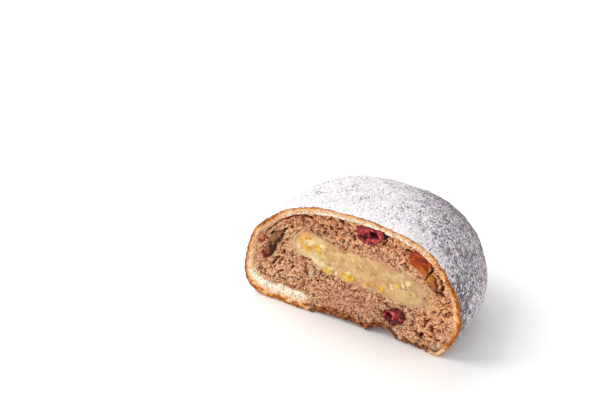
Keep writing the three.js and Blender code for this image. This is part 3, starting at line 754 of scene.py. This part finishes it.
def crumb_mesh():
    """The body of the crumb, its cut face round the paste, and the pocket that the paste fills.

    The body is the bun inside the wrapper, down to the flap, down the wall of the opening and in to the
    middle of the base. The face runs in straight lines from the body's edge to the paste's outline.
    """
    dome_rows, foot_rows, flap_rows, wall_rows, base_rows = 240, 56, 60, 26, 98
    turn = np.pi * (np.linspace(0.0, 1.0, 33) + 0.08 * np.sin(np.linspace(0.0, -2.0 * np.pi, 33)))
    hug = {"left": 4.5, "right": 3.6, "back": 3.9, "top": 2.9, "flap": (7.5, 2.1)}
    snug = OPENING | {"half_width": 23.05, "half_depth": 34.05}
    upper = bun_layer(INSIDE | hug, turn, dome_rows, foot_rows, flap_rows, snug)
    wide = OPENING | {"half_width": 24.5}
    upper[:, :, [0, -1]] = bun_layer(INSIDE | FLARE, turn[[0, -1]], dome_rows, foot_rows, flap_rows, wide)
    lip = upper[:, -1:]
    wall = np.repeat(lip, wall_rows, axis=1)
    wall[2] = lip[2] * (1.0 - np.linspace(0.0, 1.0, wall_rows + 1)[1:, None])
    share = np.linspace(1.0, 0.0, base_rows + 1)[1:, None]
    base = np.stack([OPENING["x"] + (lip[0] - OPENING["x"]) * share, lip[1] * share, 0.0 * lip[2] * share])
    body = np.concatenate([upper, wall, base], axis=1)
    under = body[2] < 0.05
    rough = layered([(0.6, 2.4, 81), (0.5, 1.2, 82)], body[0], body[1], 0.0 * body[0])
    lifted = crumbled(body[0], body[1]) + np.abs(rough) * smooth((30.0 - body[1]) / 10.0)
    body[2] = np.where(under, lifted, np.maximum(body[2], np.minimum(lifted, 4.0)))
    body = behind_cut(body, crumb_depth, 7.0)
    dip = np.where(np.arange(body.shape[1]) < upper.shape[1], EDGE_DIP, 0.4 * EDGE_DIP)[:, None]
    dip = dip * mix(1.0, 0.1, rise(body[2][:, [0, -1]], 34.0, 6.0))
    body[1][:, [0, -1]] += dip
    edge = np.concatenate([body[:, :, 0], body[:, -2:0:-1, -1]], axis=1)
    dip = np.concatenate([dip[:, 0], dip[-2:0:-1, 1]])
    middle = FILLING.mean(axis=0)
    angle = np.arctan2(edge[2] - middle[1], edge[0] - middle[0])
    start = np.stack([np.cos(angle), 0.0 * angle, np.sin(angle)]) * (radius_at(FILLING, angle) - 1.8)
    start = start + np.array([middle[0], 0.0, middle[1]])[:, None]
    share = np.linspace(0.0, 1.0, 67)[1:, None]
    face = mix(edge[:, None], start[:, None], share)
    relief, gap, own, smear = crumb_relief(face[0], face[2])
    rim_gap = crumb_relief(edge[0], edge[2])
    from_edge = np.hypot(face[0] - edge[0], face[2] - edge[2])
    from_paste = np.hypot(face[0] - start[0], face[2] - start[2])
    sunk = 3.0 * fall(from_paste, 0.2, 1.3)
    face[1] = relief + sunk + dip * fall(from_edge, 0.0, 2.2)
    narrow = np.sin(np.linspace(np.pi / 2.0, 0.0, 9))[1:, None] ** 0.8
    pocket = mix(np.array([middle[0], 0.0, middle[1]])[:, None, None], face[:, -1:], narrow)
    pocket[1] = mix(26.0, face[1, -1:], 1.0 - np.cos(np.linspace(np.pi / 2.0, 0.0, 9))[1:, None])
    points, begin, (outside, front, inside) = number_blocks([body, face, pocket])
    outside[0, :] = outside[0, 0]
    outside[-1, :] = outside[-1, 0]
    inside[-1, :] = inside[-1, 0]
    edge_number = np.concatenate([outside[:, 0], outside[-2:0:-1, -1]])
    ring = np.concatenate([edge_number[None], front, inside])
    ring = np.concatenate([ring, ring[:, :1]], axis=1)
    triangles = np.concatenate([grid_triangles(outside), grid_triangles(ring)])
    lumps = 1.6 * np.exp(-(((face[0] + 6.0) / 8.0) ** 4))
    masks = {"gap": gap, "tone": own, "smear": smear, "above": face[2] - crumbled(face[0], 0.0) - lumps}
    masks["edge"] = fall(from_edge, 0.0, 4.2) * (dip / EDGE_DIP)
    masks["stain"] = stain_mask(face[0], face[2])
    masks["warm"] = warmth(face[0], face[2])
    at_edge = [*rim_gap[1:], edge[2] - crumbled(edge[0], 0.0), dip / EDGE_DIP, 0.0, warmth(edge[0], edge[2])]
    for (title, values), edge_values in zip(list(masks.items()), at_edge):
        masks[title] = np.zeros(points.shape[1])
        masks[title][begin[1]:begin[2]] = values.ravel()
        masks[title][edge_number] = edge_values
    return points, triangles, masks


def crumb_finish():
    """Two browns in mottle, with dark specks and flour, more orange where warm and duller where not.

    It is paler by the wrapper and the paste, has stains of two kinds, is red brown in the gaps and
    darker there as painted shade, and has a baked crust in a ragged band at its base.
    """
    material, tree = finish(
        "spiced_crumb", Roughness=0.85, Subsurface_Weight=0.15, Subsurface_Radius=(1.0, 0.55, 0.35),
        Subsurface_Scale=0.0007, Specular_IOR_Level=0.08)
    warm, stain = mask(tree, "warm"), mask(tree, "stain")
    lighter = plus(tree, times(tree, mask(tree, "tone"), 0.05), ramp(tree, warm, 0.0, 1.0, 0.01, 0.06))
    brown, height = mottle(tree, paint(216, 134, 90), paint(255, 209, 162), lighter, 1.0)
    speck = ramp(tree, grain(tree, 0.6, 0.0), 0.59, 0.66, 0.0, 0.75)
    brown = blend(tree, speck, brown, paint(142, 60, 28))
    flour = ramp(tree, grain(tree, 0.55, 0.0), 0.41, 0.34, 0.0, 0.85)
    brown = blend(tree, flour, brown, paint(255, 219, 178))
    brown = blend(tree, ramp(tree, warm, 0.0, 1.0), brown, paint(255, 237, 225), "MULTIPLY")
    brown = blend(tree, ramp(tree, warm, 0.0, -1.0), brown, paint(231, 224, 228), "MULTIPLY")
    pale = ramp(tree, ragged(tree, "edge", 1.3, 1.4), 0.8, 1.6, 0.0, 0.55)
    brown = blend(tree, pale, brown, paint(246, 206, 158))
    moist = ramp(tree, ragged(tree, "smear", 1.5, 1.4), 0.95, 1.6, 0.0, 0.65)
    brown = blend(tree, moist, brown, paint(222, 180, 130))
    brown = blend(tree, ramp(tree, stain, 0.0, 1.0, 0.0, 0.7), brown, paint(166, 76, 44))
    brown = blend(tree, ramp(tree, stain, 0.0, -1.0, 0.0, 0.8), brown, paint(240, 214, 184))
    # Painted shade in the gaps, cracks and pits: the deeper a point lies in one, the darker and redder it is
    # multiplied.
    gap = ramp(tree, mask(tree, "gap"), 0.25, 0.95, 0.0, 0.92)
    brown = blend(tree, gap, brown, paint(138, 66, 8), "MULTIPLY")
    crust, _ = mottle(tree, paint(92, 40, 20), paint(208, 134, 84), -0.02, 1.0)
    baked = ramp(tree, ragged(tree, "above", 1.9, -5.6), -1.2, 0.0, 1.0, 0.0)
    surface(tree, blend(tree, baked, brown, crust), height, 0.7)
    return material


points, triangles, masks = crumb_mesh()
make_piece("crumb_spiced", points, triangles, crumb_finish(), "spiced_crumb", "spiced_crumb", **masks)

# The lemon paste: a smooth sweet paste, pale yellow, soft and a little translucent, that spread to an
# uneven slab in the baking. Small chips of candied lemon peel are stirred into it.
PEEL_BITS = np.array([
    [-15.4, 33.6, 3, 8], [-15.6, 28.4, 3, 0], [-11.6, 30.6, 1.6, 30], [-10.6, 28.6, 2, 70],
    [-18, 31, 1.6, 60], [-7.3, 21.2, 1.7, -10], [0.9, 21.4, 3.2, -30], [14.2, 20.8, 2, 80],
    [21, 24.6, 1.1, 80], [8.6, 21.2, 1, 20], [27.4, 23, 1, -50],
])
RIND = [[-18.2, 32.4], [-20.3, 30.2], [-20.3, 28.2]]
PALE_BITS = np.array([
    [-13.4, 31.6, 2.2, 20], [-19.2, 28.6, 1.8, 70], [-11.4, 23.8, 2.6, -20], [-6.3, 22.6, 1.1, 0],
    [-4.2, 21, 1.2, 80], [1.4, 23.6, 1.2, 40], [25.5, 27.3, 1.8, 30], [18.2, 23, 1.2, 85],
    [23.2, 25.4, 0.9, 60], [-8.2, 31.3, 1.4, 0],
])


def morsel(outline, depth, columns, front_rows, back_rows, fullness=1.0):
    """A morsel that the knife went through: a front face in rings and a rounded back, as one grid.

    Each front ring is the outline drawn to its middle. Behind, the rings narrow by the sine of the
    angle to the power of fullness, and go back by its cosine times the depth.
    """
    middle = outline.mean(axis=0)
    spoke = (outline_curve(outline, columns) - middle).T[:, None, :]
    front = np.linspace(0.0, 1.0, front_rows + 1)[:, None]
    angle = np.linspace(np.pi / 2.0, 0.0, back_rows + 1)[1:, None]
    share = np.concatenate([front, np.sin(angle) ** fullness])
    back = np.concatenate([0.0 * front, np.cos(angle) * depth]) + 0.0 * spoke[0]
    points = np.stack([middle[0] + spoke[0] * share, back, middle[1] + spoke[1] * share])
    ring = np.concatenate([front, 2.0 - np.sin(angle)]) + 0.0 * spoke[0]
    number = np.arange(back.size).reshape(back.shape)
    number[0, :], number[-1, :] = number[0, 0], number[-1, 0]
    triangles = grid_triangles(np.concatenate([number, number[:, :1]], axis=1))
    return points, ring, triangles


def paste_relief(x, z):
    """The paste's face before the cut plane or behind it: the knife's wave, noise, and soft lumps."""
    bent_x = x + 0.6 * noise(x, 0.0, z, 2.4, 91)
    bent_z = z + 0.6 * noise(x, 9.0, z, 2.4, 92)
    border, small_border = cells(bent_x, bent_z, 3.1, 93)[1], cells(bent_x, bent_z, 1.5, 94)[1]
    lumps = -0.35 * smooth(border / 0.8) - 0.2 * smooth(small_border / 0.8)
    return 0.25 + lumps + layered([KNIFE_WAVE, (0.3, 4.0, 41), (0.16, 1.1, 42)], x, 0.0, z)


def paste_finish():
    """Pale yellow in soft patches, greyer to the right and paler to the left, with lighter pulp, clearer
    and darker jelly, zest, pale lumps, peel with a brown rind, and crumb colour at its edge."""
    material, tree = finish(
        "lemon_paste", Roughness=0.4, Subsurface_Weight=0.6, Subsurface_Radius=(1.0, 0.75, 0.35),
        Subsurface_Scale=0.0016, Specular_IOR_Level=0.4)
    patches = ramp(tree, grain(tree, 4.5, 3.0), 0.36, 0.64)
    colour = blend(tree, patches, paint(201, 154, 97), paint(224, 186, 130))
    tint = mask(tree, "tint")
    colour = blend(tree, ramp(tree, tint, 0.0, 1.0, 0.0, 0.5), colour, paint(204, 174, 126))
    colour = blend(tree, ramp(tree, tint, 0.0, -1.0, 0.0, 0.6), colour, paint(226, 202, 144))
    pulp = ramp(tree, grain(tree, 1.6), 0.56, 0.7, 0.0, 0.6)
    colour = blend(tree, pulp, colour, paint(236, 210, 160))
    clear = ramp(tree, grain(tree, 2.2), 0.42, 0.32, 0.0, 0.6)
    colour = blend(tree, clear, colour, paint(182, 136, 76))
    zest = ramp(tree, grain(tree, 0.9, 1.0), 0.68, 0.74, 0.0, 0.6)
    colour = blend(tree, zest, colour, paint(236, 190, 90))
    pale = times(tree, mask(tree, "pale"), ramp(tree, grain(tree, 0.8), 0.3, 0.7, 0.4, 1.0))
    colour = blend(tree, pale, colour, paint(248, 226, 180))
    peel = ramp(tree, grain(tree, 1.4), 0.4, 0.6)
    peel = blend(tree, peel, paint(210, 146, 2), paint(238, 196, 64))
    colour = blend(tree, mask(tree, "peel"), colour, peel)
    colour = blend(tree, times(tree, mask(tree, "rind"), 0.8), colour, paint(116, 74, 20))
    border = ramp(tree, ragged(tree, "edge", 1.3, 1.4), 1.15, 1.7, 0.0, 0.8)
    colour = blend(tree, border, colour, paint(214, 160, 118))
    surface(tree, colour, grain(tree, 0.9, 3.0), 0.3)
    return material


def bits_mask(bits, x, z, seed):
    """1 inside any of these scattered ovals (place, half length, turn) and 0 outside, with rough edges."""
    share = np.zeros(x.shape)
    rough = 0.35 * noise(x, 0.0, z, 1.2, seed) + 0.1 * noise(x, 0.0, z, 0.5, seed + 1)
    for bit_x, bit_z, half_length, turned in bits:
        spin = np.radians(turned)
        along = (x - bit_x) * np.cos(spin) + (z - bit_z) * np.sin(spin)
        beside = (z - bit_z) * np.cos(spin) - (x - bit_x) * np.sin(spin)
        reach = np.hypot(along / half_length, beside / (0.65 * half_length)) + rough
        share = np.maximum(share, fall(reach, 0.7, 0.35))
    return share


def roughen(points, ring, outline, rough):
    """Moves a morsel's outline out by rough along the spokes, fading in over the outer 0.4 of its rings."""
    spoke = points[[0, 2]] - outline.mean(axis=0)[:, None, None]
    spoke = spoke / np.maximum(np.linalg.norm(spoke, axis=0), 0.1)
    points[[0, 2]] += spoke * rough * rise(ring, 0.6, 0.4)


points, ring, triangles = morsel(FILLING, 25.0, 480, 60, 10, 0.8)
roughen(points, ring, FILLING, layered([(1.1, 3.2, 95), (0.7, 1.3, 97)], points[0], 0.0, points[2]))
x, z = points[[0, 2]]
fade = np.clip(2.0 - ring, 0.0, 1.0)
points[1] = points[1] + fade * (paste_relief(x, z) + 0.5 * rise(ring, 0.88, 0.14))
peel = bits_mask(PEEL_BITS, x, z, 96) * (ring <= 1.0)
pale = bits_mask(PALE_BITS, x, z, 98) * (ring <= 1.0)
rind = from_line(RIND, x + 0.5 * noise(x, 0.0, z, 1.0, 99), z)
rind = fall(rind, 0.0, 0.5) * (ring <= 1.0)
points[1] = points[1] - 0.3 * peel - 0.2 * pale + 0.5 * rind
tint = rise(x, 14.0, 14.0) - smooth((-2.0 - x) / 12.0)
make_piece("paste_lemon", points, triangles, paste_finish(), "lemon_paste", "lemon_filling", peel=peel,
           pale=pale, rind=rind, edge=rise(ring, 0.72, 0.28), tint=tint)

# The cranberries: dried, sweetened and cut by the knife. Dark wrinkled skin stands round a wet red flesh
# with the empty seed chambers in it.


def berry_finish(name, ripe):
    """Wine red flesh with a wet shine, darker where noise is below ripe, almost black on the skin and, as
    painted shade, in the chambers and folds, and pink at the spot, a painted highlight on the lower berry."""
    material, tree = finish(
        name, Roughness=0.35, Subsurface_Weight=0.3, Coat_Weight=0.1,
        Subsurface_Radius=(1.0, 0.15, 0.12), Subsurface_Scale=0.0009, Specular_IOR_Level=0.2)
    flesh = ramp(tree, grain(tree, 1.5), ripe, ripe + 0.16)
    flesh = blend(tree, flesh, paint(100, 8, 20), paint(226, 66, 72))
    flesh = blend(tree, times(tree, mask(tree, "spot"), 0.9), flesh, paint(252, 98, 98))
    colour = blend(tree, mask(tree, "dark"), flesh, paint(56, 6, 14))
    surface(tree, colour, grain(tree, 0.8, 3.0), 0.35)
    return material


def fruit_relief(x, z, ring, crease, seed):
    """A dried fruit's cut face: the knife's wave, folds between cells stretched by crease, a round edge."""
    bent = x + 0.5 * noise(x, 0.0, z, 1.6, seed)
    folds = fall(cells(bent, z, crease, seed + 1)[1], 0.0, 0.5)
    wave = layered([KNIFE_WAVE, (0.45, 2.4, 51)], x, 0.0, z)
    edge = 0.9 * rise(ring, 0.76, 0.26) ** 2
    return -0.1 + wave + 0.35 * folds + edge, folds


def make_fruit(name, outline, depth, crease, seed, spot, chambers, material, slot, node):
    """One cut fruit: its morsel with a rough outline and relief, its seed chambers as rounded hollows, and
    the place and radius of the spot where it has another colour, which on the lower cranberry is a
    painted highlight."""
    points, ring, triangles = morsel(outline, depth, 160, 40, 10)
    rough = layered([(0.3, 1.6, seed + 3), (0.2, 0.8, seed + 4)], points[0], 0.0, points[2])
    roughen(points, ring, outline, rough)
    x, z = points[[0, 2]]
    relief, folds = fruit_relief(x, z, ring, crease, seed)
    # dark: the skin's own dark colour at the outline, and painted shade in the folds and, below, in the empty
    # seed chambers.
    dark = np.maximum(0.75 * rise(ring, 0.78, 0.2), 0.6 * folds)
    hole = np.zeros(ring.shape)
    for middle_x, middle_z, half_width, half_height, deep in chambers:
        reach = np.hypot((x - middle_x) / half_width, (z - middle_z) / half_height)
        bowl = np.sqrt(np.clip(1.0 - reach**2, 0.0, 1.0)) * (ring <= 1.0)
        hole = np.maximum(hole, deep * bowl)
        dark = np.maximum(dark, smooth(bowl / 0.7))
    points[1] = points[1] + np.clip(2.0 - ring, 0.0, 1.0) * relief + hole
    # The spot's own colour, except on the lower cranberry, where it is a painted highlight.
    spot_x, spot_z, radius = spot
    near = 1.0 - smooth(np.hypot(x - spot_x, z - spot_z) / radius - 0.4 + rough)
    # side: painted light, 1 towards the fruit's upper left where the light falls and -1 away from it.
    side = 0.55 * (z - outline[:, 1].mean()) - 0.83 * (x - outline[:, 0].mean())
    side = np.clip(side / 3.0, -1.0, 1.0)
    make_piece(name, points, triangles, material, slot, node, dark=dark, spot=near, side=side)


make_fruit("cranberry_under_wrapper", CRANBERRY_UPPER, 5.0, 2.2, 101, (14.6, 40.7, 2.4),
           [(12.8, 42.1, 2.2, 1.5, 2.4), (8.3, 40.3, 1.8, 0.7, 1.2), (17.4, 43.8, 1.0, 1.3, 0.9)],
           berry_finish("cranberry_upper", 0.42), "cranberry", "cranberry_upper")
# The lower berry's pink spot is a painted highlight.
make_fruit("cranberry_below_paste", CRANBERRY_LOWER, 4.5, 1.9, 111, (18.6, 11.6, 1.2),
           [(16.6, 10.8, 1.3, 1.0, 1.5)],
           berry_finish("cranberry_lower", 0.47), "cranberry", "cranberry_lower")

# The orange peel: a candied piece with a lobe, amber and clear enough for light to pass through, with a
# browner skin side.


def candied_finish():
    """Amber in two tones, yellower at the spot, browner on the skin side and, as painted shade, in its folds,
    wet and translucent.
    """
    material, tree = finish(
        "orange_peel", Roughness=0.4, Subsurface_Weight=0.4, Subsurface_Radius=(1.0, 0.3, 0.08),
        Subsurface_Scale=0.0012, Specular_IOR_Level=0.15)
    colour = blend(tree, ramp(tree, grain(tree, 1.5, 3.0), 0.4, 0.6), paint(132, 34, 2), paint(190, 74, 6))
    colour = blend(tree, mask(tree, "spot"), colour, paint(192, 110, 12))
    colour = blend(tree, times(tree, mask(tree, "dark"), 0.5), colour, paint(122, 40, 10))
    surface(tree, colour, grain(tree, 1.2), 0.25)
    return material


make_fruit("orange_peel_candied", ORANGE_PEEL, 5.0, 3.6, 131, (31.6, 33.3, 2.1), [], candied_finish(),
           "orange_peel", "orange_peel")

# The sultana, the raisin and a scrap of cranberry skin: soft golden brown, long and dark with deep folds,
# and a dull red brown.


def dried_grape_finish(name, dark, light, spot, folds=0.6):
    """Two tones of a dried fruit, the lighter one towards its upper left as painted light, where the light
    falls, and a third at one end, dark on its skin and, as painted shade, in its folds, with a dull
    shine."""
    material, tree = finish(
        name, Roughness=0.5, Subsurface_Weight=0.25, Subsurface_Radius=(1.0, 0.45, 0.2),
        Subsurface_Scale=0.0009, Specular_IOR_Level=0.15)
    # Painted light: the lighter tone leans towards the upper left side.
    lit = plus(tree, grain(tree, 2.0, 3.0), times(tree, mask(tree, "side"), 0.28))
    colour = blend(tree, ramp(tree, lit, 0.4, 0.62), dark, light)
    colour = blend(tree, mask(tree, "spot"), colour, spot)
    colour = blend(tree, times(tree, mask(tree, "dark"), folds), colour, paint(62, 26, 14))
    surface(tree, colour, grain(tree, 0.9, 3.0), 0.35)
    return material


golden = dried_grape_finish("sultana", paint(146, 74, 22), paint(208, 136, 54), paint(164, 94, 72))
make_fruit("sultana_golden", SULTANA, 3.5, 2.6, 141, (34.8, 27.8, 1.8), [], golden, "sultana", "sultana")
dark = dried_grape_finish("raisin", paint(62, 20, 14), paint(160, 106, 68), paint(116, 24, 30))
make_fruit("raisin_dark", RAISIN, 5.0, 2.4, 151, (-34.9, 18.4, 2.4), [], dark, "raisin", "raisin")
skin = dried_grape_finish("cranberry_skin", paint(150, 66, 50), paint(222, 154, 118), paint(158, 66, 58), 0.1)
make_fruit("cranberry_bit", CRANBERRY_SCRAP, 2.5, 1.6, 121, (-36.0, 25.4, 0.8), [], skin, "cranberry",
           "cranberry_scrap")

# The plain pale table that the half bun stands on.
table = bpy.data.meshes.new("table")
corners = [(-3.0, -3.0, 0.0), (3.0, -3.0, 0.0), (3.0, 3.0, 0.0), (-3.0, 3.0, 0.0)]
table.from_pydata(corners, [], [(0, 1, 2, 3)])
floor = bpy.data.objects.new("table", table)
bpy.context.scene.collection.objects.link(floor)
plain, _ = finish("pale_table", Base_Color=paint(250, 250, 250), Roughness=0.8)
table.materials.append(plain)

# Soft light of a studio: a large lamp high at the left, weak ones at the front, the back and the right,
# and a bright room.
world = bpy.data.worlds.new("studio")
world.use_nodes = True
world.node_tree.nodes["Background"].inputs["Color"].default_value = (1.0, 1.0, 1.0, 1.0)
world.node_tree.nodes["Background"].inputs["Strength"].default_value = 0.45
bpy.context.scene.world = world


def lamp(name, place, size, power):
    """A square lamp at a place in metres, that shines at the middle of the bun."""
    light = bpy.data.lights.new(name, "AREA")
    light.size = size
    light.energy = power
    holder = bpy.data.objects.new(name, light)
    aim = Vector((0.0, 0.0, 0.02)) - Vector(place)
    holder.location = place
    holder.rotation_euler = aim.to_track_quat("-Z", "Y").to_euler()
    bpy.context.scene.collection.objects.link(holder)


lamp("key", (-0.6, -0.12, 0.8), 0.9, 8.4)
lamp("front", (-0.25, -0.9, 0.4), 0.6, 2.4)
lamp("back", (-0.3, 0.6, 0.7), 0.6, 2.6)
lamp("side", (0.8, 0.15, 0.35), 0.6, 1.6)

# The camera, where the photograph was taken from: 38 degrees to the right of the cut face, 33 degrees
# above the table and turned 6 degrees about its own axis.
turned, risen, rolled = np.radians([37.98, 33.26, -6.0])
backwards = np.array([np.sin(turned) * np.cos(risen), -np.cos(turned) * np.cos(risen), np.sin(risen)])
level = np.array([np.cos(turned), np.sin(turned), 0.0])
upwards = np.cross(backwards, level)
right = level * np.cos(rolled) + upwards * np.sin(rolled)
up = upwards * np.cos(rolled) - level * np.sin(rolled)
lens = bpy.data.cameras.new("camera")
lens.lens = 100.0
lens.sensor_width = 36.0
lens.sensor_fit = "HORIZONTAL"
lens.clip_start = 0.01
camera = bpy.data.objects.new("camera", lens)
place = np.array([[0.2727], [-0.3934], [0.3559]])
matrix = np.hstack([np.stack([right, up, backwards], axis=1), place])
camera.matrix_world = Matrix(np.vstack([matrix, [0.0, 0.0, 0.0, 1.0]]).tolist())
bpy.context.scene.collection.objects.link(camera)
bpy.context.scene.camera = camera
bpy.context.scene.view_settings.view_transform = "Standard"
